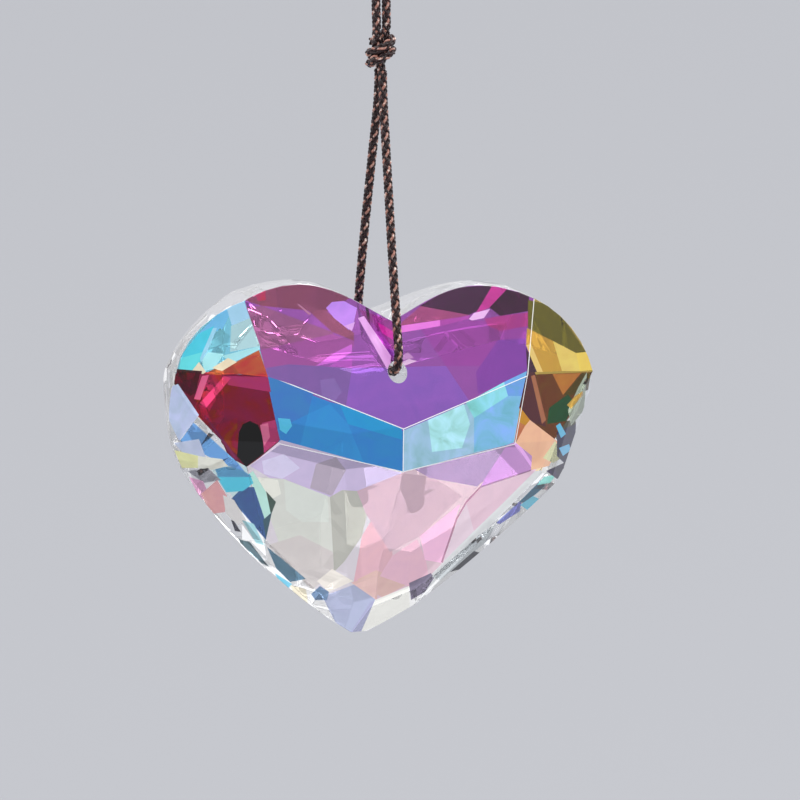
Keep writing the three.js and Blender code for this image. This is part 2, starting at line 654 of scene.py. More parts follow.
LOOP_ROUTE = Route(
    (
        *((-0.42, 0, -19.9), (-0.5, 0, -17.5), (-0.55, 0, -14.8), (-0.95, 0, -12.4), (-2.0, 0, -9.6)),
        *((-3.1, 0, -6.8), (-3.6, 0, -4.1), (-3.1, 0, -1.5), (-1.7, 0, 0.05), (0, 0, 0.5)),
        *((1.7, 0, 0.05), (3.1, 0, -1.5), (3.6, 0, -4.1), (3.1, 0, -6.8), (2.0, 0, -9.6)),
        *((1.0, 0, -12.4), (0.62, 0, -14.8), (0.6, 0, -17.5), (0.62, 0, -19.9)),
    )
)
KNOT_ROUTES: dict[str, Route] = {
    "knot_core_left": Route(
        ((-0.09, -0.495, -24), (-0.225, -0.36, -23.2), (-0.45, 0, -22), (-0.45, 0, -20.9), (-0.45, 0, -20))
    ),
    "knot_core_right": Route(
        ((0.1, 0.55, -24), (0.25, 0.4, -23.2), (0.5, 0, -22), (0.5, 0, -20.9), (0.5, 0, -20))
    ),
    "knot_cut_end": Route(((-0.4, -0.4, -22.6), (-1.0, -0.9, -22.75), (-1.55, -1.0, -22.9))),
}


@dataclass
class Braid:
    """Yarn that is braided round a core into a thin cord."""

    diameter: float = 1.0 * MM
    yarns_each_way: int = 4
    turn_length: float = 3.4 * MM
    yarn_radius: float = 0.135 * MM
    yarn_rounding: int = 1
    wave: float = 0.07 * MM
    core_share: float = 2.0
    steps_per_crossing: int = 3
    # the yarns with the copper finish, whose colour is partly the thread's own and partly a painted highlight
    # along the braid
    bright_yarns: tuple[int, ...] = (0, 2)
    first_side: Point = (1, 0, 0.03)
    other_side: Point = (0, 1, 0)
    nearly_along: float = 0.95
    finishes: list[bpy.types.Material] = field(default_factory=list)

    @property
    def spacing(self) -> float:
        """The distance between two rings of a yarn."""
        return self.turn_length / (2 * self.yarns_each_way * self.steps_per_crossing)

    def make(self, name: str, line: Sequence[Vector]) -> bpy.types.Object:
        """Braid a cord along a line.

        Args:
            name: The piece's name.
            line: The middle of the cord, in metres.

        Returns:
            One mesh with all the yarns and the core.
        """
        points = even(line, self.spacing)
        sides, ups = self._frames(points)
        data = bpy.data.curves.new(name, "CURVE")
        data.dimensions = "3D"
        data.bevel_depth, data.bevel_resolution = self.yarn_radius, self.yarn_rounding
        data.use_fill_caps = True
        for finish in self.finishes:
            data.materials.append(finish)
        for way in (1, -1):
            for yarn in range(self.yarns_each_way):
                start = 2 * math.pi * yarn / self.yarns_each_way
                bright = int(way == 1 and yarn in self.bright_yarns)
                self._spline(data, self._yarn_line(points, sides, ups, way, start), finish=bright)
        self._spline(data, points[:: self.steps_per_crossing] + [points[-1]], self.core_share)
        piece = bpy.data.objects.new(name, data)
        bpy.context.scene.collection.objects.link(piece)
        pick(piece)
        bpy.ops.object.convert(target="MESH")
        piece = bpy.context.object
        bpy.ops.object.shade_smooth()
        deselect()
        return piece

    def _yarn_line(
        self, points: Sequence[Vector], sides: Sequence[Vector], ups: Sequence[Vector], way: int, start: float
    ) -> list[Vector]:
        """Give the line of one yarn, which goes round the core and over and under the others.

        Args:
            points: The middle of the cord.
            sides: A direction across the cord at each point.
            ups: The other direction across the cord at each point.
            way: 1 or -1, the way round that the yarn goes.
            start: The angle that it starts at, in radians.

        Returns:
            The yarn's points.
        """
        result = []
        for i, (point, side, up) in enumerate(zip(points, sides, ups)):
            along = 2 * math.pi * i * self.spacing / self.turn_length
            angle = start + way * along
            out = self.diameter / 2 - self.yarn_radius - self.wave
            out += way * self.wave * math.cos(self.yarns_each_way * along)
            result.append(point + side * out * math.cos(angle) + up * out * math.sin(angle))
        return result

    def _frames(self, points: Sequence[Vector]) -> tuple[list[Vector], list[Vector]]:
        """Carry two directions along a line without twist.

        Args:
            points: The line's points.

        Returns:
            Both directions across the line, at each point.
        """
        sides, ups = [], []
        side = Vector(self.first_side).normalized()
        for i in range(len(points)):
            ahead = (points[min(i + 1, len(points) - 1)] - points[max(i - 1, 0)]).normalized()
            if abs(side.dot(ahead)) > self.nearly_along:
                side = Vector(self.other_side)
            side = (side - ahead * side.dot(ahead)).normalized()
            sides.append(side.copy())
            ups.append(ahead.cross(side))
        return sides, ups

    @staticmethod
    def _spline(
        data: bpy.types.Curve, points: Sequence[Vector], radius: float = 1.0, finish: int = 0
    ) -> None:
        """Add one line of points to a curve.

        Args:
            data: The curve to add it to.
            points: The points of the line.
            radius: Its thickness, as a share of the curve's own.
            finish: Which of the finishes it has.
        """
        spline = data.splines.new("POLY")
        spline.material_index = finish
        spline.points.add(len(points) - 1)
        for target, point in zip(spline.points, points):
            target.co = (*point, 1)
            target.radius = radius


@dataclass
class HangingCord:
    """The doubled cord: a strand on each side of the glass, the knot, and the loop it hangs by."""

    braid: Braid = field(default_factory=Braid)
    line_spacing: float = 0.3 * MM
    knot_spacing: float = 0.2 * MM
    knot_middle: Vector = field(default_factory=lambda: Vector((0, 0, -22 * MM)))
    wrap_radius: float = 1.12 * MM
    wrap_turns: float = 1.9
    wrap_rise: float = 1.05 * MM
    wrap_steps: int = 90
    wrap_start: float = 200.0
    wrap_lean: float = 0.42 * MM
    wrap_leans_to: float = 25.0

    def build(self) -> list[bpy.types.Object]:
        """Returns:
            The pieces.
        """
        front = FRONT_ROUTE.line(self.line_spacing)
        back = BACK_ROUTE.line(self.line_spacing)
        loop = LOOP_ROUTE.line(self.line_spacing)
        knot = self._knot()
        strands = {
            "front_strand": (front, "cord_front_strand", Vector(FRONT_EXIT) * MM),
            "back_strand": (back, "cord_back_strand", Vector(BACK_EXIT) * MM),
            "hanging_loop": (loop, "cord_hanging_loop", loop[0]),
        }
        made = [knot]
        for name, (line, node, leaves) in strands.items():
            piece = self.braid.make(name, line)
            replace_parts(piece, node)
            made.append(piece)
        for piece in made:
            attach(piece, "root")
        return made

    def _wrap(self) -> list[Vector]:
        """Give the line of the knot's turns, which lean to one side and rise as they go round.

        Returns:
            The line's points, in metres.
        """
        points = []
        for i in range(self.wrap_steps + 1):
            share = i / self.wrap_steps
            angle = math.radians(self.wrap_start) - share * self.wrap_turns * 2 * math.pi
            lean = self.wrap_lean * math.cos(angle - math.radians(self.wrap_leans_to))
            rise = (share - 0.5) * self.wrap_rise * self.wrap_turns
            round_core = Vector((math.cos(angle), -math.sin(angle), 0)) * self.wrap_radius
            points.append(self.knot_middle + round_core + Vector((0, 0, rise + lean)))
        return points

    def _knot(self) -> bpy.types.Object:
        """Make the overhand knot: both strands pass through its turns.

        Returns:
            The knot, as one mesh.
        """
        parts = [self.braid.make("knot_turns", self._wrap())]
        for name, route in KNOT_ROUTES.items():
            parts.append(self.braid.make(name, route.line(self.knot_spacing)))
        pick(*parts)
        bpy.ops.object.join()
        knot = bpy.context.object
        knot.name = "knot"
        deselect()
        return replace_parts(knot, "cord_knot")


# The crystal heart


class Face(Enum):
    """The two faces of the heart."""

    FRONT = 1
    BACK = -1


class Polish(Enum):
    """How a part of the glass's surface is finished. Two kinds are no finish but painted light on nearly
    opaque glass: a white painted highlight along the chevron's edges, and coloured painted glints.
    """

    COATED = 0
    GROUND = 1
    # a white painted highlight along edges, on nearly opaque glass
    BRIGHT = 2
    # coloured painted glints on nearly opaque glass
    GLINT = 3


@dataclass(frozen=True)
class Cut:
    """One plane of the cut glass, in shares of the front's depth.

    Its depth is level at the tops of the lobes, and changes by out for half the width and by down for the
    height. It is made on the sides given, 1 on the right and -1 on the left.
    """

    level: float
    out: float
    down: float
    sides: tuple[int, ...] = (1, -1)


CUTS: dict[str, Cut] = {
    "table": Cut(0.187, 0.0, 1.997, (1,)),
    "chevron": Cut(0.666, -0.283, 0.69),
    "lower_face": Cut(1.702, -0.535, -1.452),
    "upper_side": Cut(1.094, -1.273, 1.529),
    "lower_side": Cut(1.318, -1.217, 0.399),
    "corner": Cut(1.645, -1.175, -0.449),
    "upper_rim": Cut(3.149, -2.631, -1.123),
    "left_rim": Cut(2.955, -2.313, -1.386, (-1,)),
    "right_rim": Cut(2.546, -2.039, -0.94, (1,)),
    "right_bevel": Cut(2.562, -1.151, -2.287, (1,)),
    "right_edge": Cut(3.217, -1.602, -2.884, (1,)),
    "right_tip": Cut(2.592, -0.753, -2.446, (1,)),
    "left_bevel": Cut(2.946, -1.743, -2.294, (-1,)),
    "left_foot": Cut(2.608, -1.024, -2.36, (-1,)),
    "left_toe": Cut(4.551, -2.025, -4.222, (-1,)),
    "left_edge": Cut(3.953, -2.397, -3.22, (-1,)),
    "left_tip": Cut(1.911, -0.45, -1.71, (-1,)),
}

OUTLINE: tuple[tuple[Place, Place, Place, Place], ...] = (
    ((0, 0.092), (0.098, 0.067), (0.249, 0), (0.427, 0)),
    ((0.427, 0), (0.707, 0), (1, 0.139), (1, 0.299)),
    ((1, 0.299), (1, 0.382), (0.969, 0.467), (0.907, 0.53)),
    ((0.907, 0.53), (0.756, 0.66), (0.422, 0.866), (0.045, 0.992)),
)

BEHIND = "eeeff2"  # how the room looks through clear glass
GLOSS = 0.016  # how much of the room's light a facet mirrors
BRIGHT_EDGES_FROM = 286  # the column of the picture from which the chevron's edges carry a painted highlight
EDGE_ON = 0.02  # a face that turns less than this share towards the camera takes no patch
UPRIGHT = 0.05  # a face that looks forwards or back by less than this share belongs to the wall of the rim
BESIDE = 0.955  # a strip that looks this nearly the same way as the chevron lies along it
SAME_WAY = 0.99995  # two faces that look this nearly the same way are parallel
ON_PLANE = 0.02 * MM  # how far a face's middle may lie from the plane of its facet
CLOSE = 1e-7  # metres within which points of a cut are one
MERGED = 1e-6  # metres within which points of the cut heart are one
SPECK = 1e-10  # square metres, below which a face isn't cut any further
DIGITS = 7  # decimals of a metre to which points are told apart
HAIR = 0.02  # pixels by which a spot may miss a line and still lie on it
SAME_SPOT = 1e-6  # pixels within which two spots are one


@dataclass(frozen=True)
class Coat:
    """How one facet is coated: the colour that it shows, and how bright the room is behind it. A coat with
    the GLINT polish is a painted glint, not a coating.
    """

    colour: str
    light: float
    cloudiness: float = 0.25
    polish: Polish = Polish.COATED

    def shade(self) -> Shade:
        """Give the colour of the coating itself, or of the painted glint.

        A painted glint keeps the colour that it shows. Other glass lets the square root of its coating's
        colour through at each face.

        Returns:
            The colour in linear light.
        """
        shown = linear(self.colour)
        if self.polish is Polish.GLINT:
            return shown
        through = [max(0.0, s - GLOSS) / (self.light * b - GLOSS) for s, b in zip(shown, linear(BEHIND))]
        return tuple(min(1.0, share) ** 2 for share in through)


CLEAR = Coat("eaeaec", 1.0)
COATS: dict[Face, dict[tuple[str, int], Coat]] = {
    Face.FRONT: {
        ("table", 1): Coat("9a55a8", 0.77),
        ("chevron", -1): Coat("3d86c8", 0.7),
        # the chevron's right half is a painted glint
        ("chevron", 1): Coat("a0cce8", 0.72, 1.2, Polish.GLINT),
        ("lower_face", -1): Coat("cfc9d2", 0.98),
        ("lower_face", 1): Coat("d6bcc8", 1.1),
        ("upper_side", -1): Coat("7fcbe6", 0.85),
        ("upper_side", 1): Coat("b49a4a", 0.75),
        ("lower_side", -1): Coat("702438", 0.62),
        ("lower_side", 1): Coat("6d4328", 0.7),
        ("corner", -1): Coat("5a2030", 0.65),
        ("corner", 1): Coat("f0bd9c", 0.75),
        # the band along the upper rim and the right bevel's strip are white painted highlights
        ("upper_rim", -1): Coat("dde0e3", 1.0, 1.0, Polish.GLINT),
        ("upper_rim", 1): Coat("dde0e3", 1.0, 1.0, Polish.GLINT),
        ("right_bevel", 1): Coat("f6f8f6", 1.0, 0.3, Polish.GLINT),
        ("right_rim", 1): Coat("dcdcd8", 0.8),
        ("right_edge", 1): Coat("dcdcde", 0.8),
        ("left_rim", -1): Coat("e6e6ea", 0.72),
        ("left_bevel", -1): Coat("bcd8dc", 0.75),
        ("left_edge", -1): Coat("e6e6ea", 0.75),
        ("left_tip", -1): Coat("a2a8c2", 0.95),
    },
    Face.BACK: {
        ("table", 1): Coat("b48fd0", 0.8),
        ("chevron", -1): Coat("7fb4e4", 0.75),
        ("chevron", 1): Coat("9adcea", 0.75),
        ("lower_face", -1): Coat("d8ccda", 0.9),
        ("lower_face", 1): Coat("e2c2d0", 0.9),
        ("upper_side", -1): Coat("8fd6e6", 0.8),
        ("upper_side", 1): Coat("dcc46a", 0.8),
        ("lower_side", -1): Coat("c0606e", 0.7),
        ("lower_side", 1): Coat("b08058", 0.7),
        ("corner", -1): Coat("7a88c8", 0.7),
        ("corner", 1): Coat("e8b490", 0.8),
        ("left_bevel", -1): Coat("a8d8e0", 0.8),
        ("left_tip", -1): Coat("b4b4d8", 0.9),
    },
}


def turn(a: Place, b: Place, c: Place) -> float:
    """Say on which side of the line from a to b the place c lies, and how far, in pixels."""
    length = math.hypot(b[0] - a[0], b[1] - a[1]) or 1.0
    return ((b[0] - a[0]) * (c[1] - a[1]) - (b[1] - a[1]) * (c[0] - a[0])) / length


def edges_of(shape: Sequence[Place]) -> list[Edge]:
    """Go round a shape so that its inside lies on the positive side of every edge.

    Args:
        shape: The shape's corners, in order.

    Returns:
        Its edges.
    """
    area = sum(a[0] * b[1] - b[0] * a[1] for a, b in zip(shape, [*shape[1:], shape[0]]))
    ring = list(shape) if area > 0 else list(reversed(shape))
    return list(zip(ring, ring[1:] + ring[:1]))


def inside(spots: Iterable[Place], edge: Edge) -> bool:
    """Say whether all the spots lie on the inner side of an edge."""
    return all(turn(*edge, spot) > -HAIR for spot in spots)


def crosses(spots: Sequence[Place], edge: Edge) -> bool:
    """Say whether an edge's line passes through a shape."""
    sides = [turn(*edge, spot) for spot in spots]
    return min(sides) < -HAIR and max(sides) > HAIR


def apart(shape: Sequence[Place], other: Sequence[Place]) -> bool:
    """Say whether some edge of a shape has the whole of the other on its outer side."""
    edges = [edge for edge in edges_of(shape) if math.dist(*edge) > SAME_SPOT]
    return any(max(turn(*edge, spot) for spot in other) <= HAIR for edge in edges)


def bulges(shape: Sequence[Place]) -> bool:
    """Say whether a shape bulges out everywhere."""
    return all(inside(shape, edge) for edge in edges_of(shape) if math.dist(*edge) > SAME_SPOT)


def meets(spots: Sequence[Place], corners: Sequence[Place]) -> bool:
    """Say whether a face overlaps a patch.

    Args:
        spots: The face's corners on the picture.
        corners: The corners of the patch, which bulges out everywhere.

    Returns:
        Whether they share more than an edge.
    """
    for k in (0, 1):
        if max(s[k] for s in spots) <= min(c[k] for c in corners) + HAIR:
            return False
        if min(s[k] for s in spots) >= max(c[k] for c in corners) - HAIR:
            return False
    return not apart(corners, spots) and not (bulges(spots) and apart(spots, corners))


@dataclass(frozen=True)
class PaintedReflection:
    """A painted reflection: a patch of a front facet, from edge to straight edge, coloured like the light
    that the coated facets behind throw back there, dark patches among them; patches with the GLINT polish are
    painted glints.

    Its corners are places in the picture, in pixels, and go round a shape that bulges out everywhere. Where
    only is given, it shows on facets with that word in their names alone.
    """

    name: str
    colour: str
    corners: tuple[Place, ...]
    polish: Polish = Polish.COATED
    cloudiness: float = 0.25
    only: str = ""

    @cached_property
    def edges(self) -> list[Edge]:
        """Its edges, with its inside on the positive side of each."""
        return edges_of(self.corners)

    def covers(self, spot: Place) -> bool:
        """Say whether a spot of the picture lies on the patch."""
        return all(inside([spot], edge) for edge in self.edges)


# the polish of the painted glints, and of the white painted highlights along the rims
GLINT = Polish.GLINT
# Painted reflections of the coated facets behind, dark ones among them, and painted glints, listed facet by
# facet
PAINTED_REFLECTIONS: tuple[PaintedReflection, ...] = (
    # the table, its rosy left part
    PaintedReflection(
        "rose_crown", "8a4a66",
        ((244, 300), (258, 289), (290, 279), (330, 285), (350, 298), (326, 312), (262, 306)),
    ),
    PaintedReflection("rose_left", "985a86", ((243, 299), (262, 306), (305, 303), (322, 318), (335, 336), (262, 352))),
    PaintedReflection("rose_band", "92506f", ((300, 303), (326, 311), (354, 333), (354, 341), (332, 332))),
    PaintedReflection("crown_spot", "b03a66", ((254, 292), (265, 288), (266, 300), (258, 301))),
    PaintedReflection("crown_stripe", "bc7c9c", ((297, 304), (299, 304), (311, 314), (309, 315))),
    PaintedReflection(
        "magenta_left", "a4559c",
        ((260, 350), (332, 334), (354, 341), (354, 346), (318, 366), (266, 372)),
    ),
    PaintedReflection("violet_half", "915fbe", ((352, 368), (446, 366), (470, 402), (402, 431), (344, 406))),
    PaintedReflection(
        "dull_violet", "8560a6",
        ((266, 368), (290, 364), (318, 366), (352, 368), (346, 406), (330, 402), (267, 378)),
    ),
    PaintedReflection("grey_violet", "8c6cb0", ((320, 380), (334, 378), (342, 392), (334, 402), (322, 396))),
    PaintedReflection("pink_wing", "dc6cd6", ((316, 366), (334, 353), (352, 344), (352, 352), (336, 362))),
    PaintedReflection("pink_wing_foot", "b658bc", ((316, 366.5), (336, 362), (352, 352), (352, 368), (334, 367))),
    PaintedReflection(
        "violet_pentagon", "c482f6",
        ((326, 308), (332, 302), (344, 301), (357, 308), (354, 322), (349, 330), (334, 318)), GLINT,
    ),
    PaintedReflection("pentagon_foot", "e4a2f2", ((344, 326), (355, 322), (352, 331)), GLINT),
    PaintedReflection(
        "notch_magenta", "9c4292",
        ((357, 308), (378, 316), (394, 322), (398, 352), (391, 357), (364, 317)),
    ),
    PaintedReflection("notch_purple", "ac46b0", ((366, 319), (372, 322), (394, 350), (392, 359), (385, 349))),
    PaintedReflection("notch_pink", "d43aa6", ((377, 322), (393, 331), (393, 340), (382, 333))),
    PaintedReflection("notch_pale", "9a48b8", ((384, 348), (395, 351), (394, 356), (388, 355))),
    PaintedReflection("long_glint", "f4aaf6", ((358, 318), (364, 316), (391, 356), (390, 368), (387, 369)), GLINT, 0.1),
    # the table, its right part
    PaintedReflection(
        "magenta_right", "a04ba5",
        ((400, 333), (468, 320), (528, 324), (528, 372), (470, 401), (446, 366), (402, 366)),
    ),
    PaintedReflection("plum_foot", "8a48a8", ((498, 340), (528, 338), (528, 372), (478, 394), (476, 372))),
    PaintedReflection("rose_wedge", "a85080", ((402, 322), (423, 304), (450, 309), (470, 315), (440, 321), (400, 327))),
    PaintedReflection(
        "rose_hem", "b0408a",
        ((484, 318), (500, 316), (528, 311), (528, 326), (500, 331), (488, 326)), cloudiness=0.5,
    ),
    PaintedReflection("dark_crown", "4c2e48", ((420, 306), (440, 294), (460, 287), (494, 285), (479, 310), (469, 315))),
    PaintedReflection("dark_corner", "46283f", ((502, 288), (529, 295), (529, 311), (500, 316), (489, 307))),
    PaintedReflection("crown_ray", "cf409c", ((492, 286), (507, 289), (489, 308), (476, 313))),
    PaintedReflection("ray_tip", "f4b8f4", ((469, 319), (474, 313), (490, 309), (484, 318), (472, 320.5)), GLINT),
    PaintedReflection("cross_ray", "f070e2", ((399, 326), (440, 320), (440, 326), (399, 333)), GLINT),
    PaintedReflection("cross_ray_end", "b850b0", ((440, 320), (470, 315.5), (469, 319), (440, 326))),
    # painted highlights on a chip by the hole
    PaintedReflection("chip", "c88fc8", ((400, 357), (408, 352), (414, 358), (404, 360))),
    PaintedReflection("chip_foot", "dcb0da", ((402, 362), (409, 359), (417, 361), (404, 366)), GLINT),
    # the chevron
    PaintedReflection("dull_blue", "467dbe", ((266, 376), (300, 387), (334, 401), (308, 414), (300, 446), (280, 441))),
    PaintedReflection("deep_blue", "3e90d4", ((308, 414), (330, 404), (348, 424), (364, 463), (325, 453), (300, 446))),
    PaintedReflection("bright_blue", "3498d8", ((310, 413), (334, 401), (402, 429), (402, 473), (364, 463), (348, 424))),
    PaintedReflection("cyan_spot", "46bce4", ((278, 418), (290, 419), (292, 426), (286, 434), (280, 430)), GLINT),
    PaintedReflection("mint_sky", "b4f6fc", ((428, 420), (464, 404), (470, 424), (462, 448), (432, 452)), GLINT, 1.4),
    PaintedReflection("aqua_crest", "8ae6ee", ((466, 403), (504, 382), (508, 396), (474, 418)), GLINT, 1.4),
    PaintedReflection("blue_corner", "68a8ea", ((504, 382), (527, 371), (522, 396), (508, 396)), GLINT, 1.4),
    PaintedReflection("bright_sky", "7cc2f0", ((474, 418), (508, 396), (522, 396), (513, 444), (474, 452)), GLINT, 1.4),
    # the left side
    PaintedReflection("side_blue", "68beee", ((198, 334), (214, 318), (226, 306), (231, 312), (222, 330)), GLINT),
    PaintedReflection("side_pale_blue", "a2d6f4", ((226, 306), (243, 298), (250, 318), (232, 326)), GLINT),
    PaintedReflection("side_white", "b6dcf0", ((231, 326), (250, 318), (260, 346), (230, 352))),
    PaintedReflection("side_turquoise", "3ad0ea", ((184, 352), (198, 334), (214, 326), (206, 352), (181, 359)), GLINT),
    PaintedReflection("side_cyan", "58e4ea", ((179, 370), (181, 358), (206, 351), (200, 362), (196, 371)), GLINT),
    PaintedReflection("side_teal", "74bccc", ((209, 342), (220, 328), (230, 336), (224, 356), (208, 354))),
    PaintedReflection("side_aqua", "aaf4f8", ((202, 360), (208, 352), (224, 354), (214, 369), (204, 371)), GLINT),
    PaintedReflection("side_foam", "a6eaf0", ((222, 356), (240, 351), (260, 346), (259, 350), (232, 363)), GLINT),
    PaintedReflection("side_ray", "9adcf6", ((213, 328), (217, 328), (208, 350), (201, 363), (200, 358)), GLINT),
    PaintedReflection("side_red", "c24a3c", ((232, 364), (259, 350), (268, 377), (240, 374))),
    PaintedReflection("side_orange", "b04c38", ((204, 374), (214, 369), (232, 364), (240, 374), (212, 375))),
    PaintedReflection("side_cream", "f6e4bc", ((212, 368), (228, 358), (237, 362), (222, 371)), GLINT),
    PaintedReflection("side_amber", "f8ecc8", ((191, 372), (199, 362), (206, 372), (203, 374)), GLINT),
    PaintedReflection("side_brown", "4a1410", ((174, 384), (177, 369), (202, 371), (198, 392), (190, 396))),
    PaintedReflection("side_ember", "8c2c44", ((200, 374), (224, 375), (204, 398), (196, 392))),
    PaintedReflection("side_rose", "98345a", ((226, 376), (268, 377), (271, 392), (228, 385))),
    PaintedReflection("side_streak", "f0588a", ((202, 376), (209, 375), (200, 400), (194, 399)), GLINT),
    PaintedReflection("side_streak_low", "c03c68", ((224, 376), (231, 378), (206, 408), (200, 403))),
    PaintedReflection("side_foot", "8c2444", ((199, 404), (206, 408), (212, 424), (202, 415))),
    PaintedReflection("side_rust", "7a2018", ((214, 426), (237, 418), (239, 456), (226, 446))),
    PaintedReflection("side_hem", "6a2a48", ((204, 415), (208, 418), (238, 459), (234, 459))),
    PaintedReflection(
        "side_black", "120404",
        ((239, 432), (243, 424), (250, 421), (258, 425), (262, 434), (264, 453), (246, 467), (237, 456)),
    ),
    PaintedReflection("side_pink", "9c3a62", ((262, 423), (275, 420), (280, 440), (264, 453))),
    PaintedReflection("side_pink_pale", "c06484", ((260, 425), (268, 423), (270, 437), (264, 446))),
    # the right side
    PaintedReflection(
        "olive", "6e662a",
        ((528, 300), (548, 304), (566, 322), (586, 352), (576, 353), (550, 340), (528, 328)),
    ),
    PaintedReflection("gold", "cfa143", ((527, 328), (553, 341), (562, 371), (541, 372), (526, 345))),
    PaintedReflection("bright_gold", "e4c458", ((553, 341), (576, 353), (580, 371), (562, 371)), GLINT),
    PaintedReflection("lemon", "ecca4c", ((576, 353), (586, 352), (594, 370), (580, 371)), GLINT),
    PaintedReflection("lemon_strip", "ecc868", ((526, 345), (531, 344), (543, 372), (537, 372)), GLINT),
    PaintedReflection("plum_sliver", "4a3040", ((526, 347), (537, 372), (527, 372))),
    PaintedReflection("brown_left", "5a3438", ((527, 372), (535, 372), (546, 427), (529, 421), (519, 408))),
    PaintedReflection("copper_streak", "a8603c", ((531, 376), (535, 375), (546, 420), (542, 424)), GLINT),
    PaintedReflection("copper_quad", "b47238", ((552.5, 374), (581, 373), (563, 395))),
    PaintedReflection("moss", "54461e", ((582, 373), (591, 373), (588, 390), (572, 395), (563.5, 395))),
    PaintedReflection("dark_green", "2c5034", ((549, 408), (568, 394), (574, 402), (566, 421), (547, 424))),
    PaintedReflection("olive_brown", "40401c", ((546, 424), (566, 421), (574, 408), (576, 425), (560, 444))),
    PaintedReflection("orange", "e69030", ((520, 407), (530, 420), (525, 426), (518, 422))),
    PaintedReflection("copper", "c87850", ((518, 421), (526, 426), (514, 444))),
    PaintedReflection(
        "peach", "ffc096",
        ((530, 420), (561, 444), (549, 466), (531, 470), (515, 444), (525, 426)), GLINT, 0.15,
    ),
    # the lower face
    PaintedReflection(
        "lilac", "c4b6d8",
        ((250, 466), (281, 440), (402, 473), (358, 491), (330, 497), (300, 490), (270, 478)),
    ),
    PaintedReflection("pale_lilac", "cfc8e6", ((262, 461), (284, 454), (300, 468), (282, 479), (264, 474))),
    PaintedReflection("grey_lilac", "b0a4b6", ((316, 464), (336, 457), (346, 470), (332, 496), (310, 488))),
    PaintedReflection(
        "off_white", "cdcfca",
        ((256, 477), (284, 479), (330, 497), (334, 572), (312, 590), (266, 545), (264, 500)),
    ),
    PaintedReflection("mint_white", "d0d5d0", ((284, 480), (328, 496), (329, 522), (302, 522), (286, 510))),
    PaintedReflection("white_corner", "dfe0d8", ((258, 477), (278, 480), (281, 494), (270, 500), (262, 492))),
    PaintedReflection("warm_white", "c9c3c3", ((268, 545), (300, 535), (333, 552), (334, 572), (312, 590))),
    PaintedReflection(
        "grey_green", "b3b3ad",
        ((330, 497), (342, 490), (357, 491), (367, 514), (362, 536), (344, 562), (334, 572)),
    ),
    PaintedReflection("cream_kite", "e4ded8", ((317, 581), (332, 569), (353, 581), (329, 592))),
    PaintedReflection("rose", "d8aeba", ((366, 514), (390, 520), (394, 574), (352, 583), (341, 572), (362, 536))),
    PaintedReflection(
        "mauve_rose", "c6aab8",
        ((357, 491), (402, 473), (432, 477), (462, 496), (420, 536), (390, 552), (366, 514)),
    ),
    PaintedReflection("beige_rose", "d6b4b0", ((352, 582), (376, 570), (408, 584), (378, 600), (368, 590))),
    PaintedReflection("pink_foot", "ddb4c6", ((392, 556), (422, 536), (426, 560), (432, 574), (408, 586), (380, 576))),
    PaintedReflection("hot_pink", "eebcdc", ((420, 536), (460, 504), (450, 540), (442, 563), (425, 560))),
    PaintedReflection("mauve", "ac93ba", ((402, 473), (455, 458), (507, 445), (485, 480), (464, 497), (430, 478))),
    PaintedReflection("orchid", "cc9ad8", ((507, 445), (515, 442), (532, 456), (531, 470), (480, 488), (485, 478))),
    PaintedReflection(
        "blush", "fbd0e2",
        ((466, 502), (480, 487), (531, 470), (537, 469), (500, 506), (474, 531)), GLINT, 0.15,
    ),
    PaintedReflection("blush_foot", "ffe2f0", ((466, 502), (474, 531), (441, 564), (450, 536), (457, 518)), GLINT, 0.15),
    PaintedReflection("blush_line", "a680a4", ((480, 486.3), (531, 469.6), (531, 471), (480, 488))),
    PaintedReflection("blush_line_mid", "b0809a", ((466, 501), (480, 486.6), (480.6, 488), (467, 502.6))),
    PaintedReflection("blush_line_low", "b487a0", ((456, 518), (466, 501), (467.4, 502), (457.5, 519))),
    PaintedReflection("blush_line_foot", "b487a0", ((441, 562), (456, 518), (457.5, 519), (442.5, 563))),
    # the rim and the bevels on the left
    PaintedReflection("rim_white_top", "ffffff", ((248, 272), (231, 278), (229, 298), (245, 292)), GLINT, 0.3, "rim"),
    PaintedReflection("rim_white_high", "ffffff", ((231, 278), (208, 293), (207, 318), (229, 298)), GLINT, 0.3, "rim"),
    PaintedReflection("rim_white_mid", "ffffff", ((208, 293), (187, 314), (187, 337), (207, 318)), GLINT, 0.3, "rim"),
    PaintedReflection("rim_white_low", "ffffff", ((187, 314), (172, 338), (177, 356), (187, 337)), GLINT, 0.3, "rim"),
    PaintedReflection(
        "mint_strip", "c8ffee",
        ((248, 474), (253, 471), (266, 492), (271, 514), (263, 521), (256, 498)), GLINT,
    ),
    PaintedReflection("green_sliver", "4a5a54", ((266, 491), (276, 502), (271, 515))),
    PaintedReflection("navy", "46608e", ((231, 499), (243, 487), (254, 487), (265, 520), (266, 540))),
    PaintedReflection("navy_tip", "48606c", ((263, 520), (272, 512), (266, 539))),
    PaintedReflection("teal", "58bcd4", ((216, 476), (250, 474), (256, 490), (243, 491), (231, 500))),
    PaintedReflection("teal_stripe", "5a90b4", ((214, 466), (240, 468), (252, 477), (218, 477))),
    PaintedReflection("lilac_white", "ccdcff", ((168, 388), (178, 384), (199, 415), (179, 441), (169, 420)), GLINT, 0.6),
    PaintedReflection("rim_blue", "6a9cf0", ((180, 441), (199, 415), (237, 462), (248, 472), (222, 464))),
    PaintedReflection("rim_lilac", "ccd8f4", ((174, 443), (199, 439), (206, 458), (184, 454)), GLINT),
    PaintedReflection("rim_yellow", "fcfcb4", ((174, 450), (199, 456), (198, 468), (182, 468)), GLINT),
    PaintedReflection("rim_cream", "ffffee", ((198, 456), (222, 459), (228, 466), (212, 470), (198, 468)), GLINT),
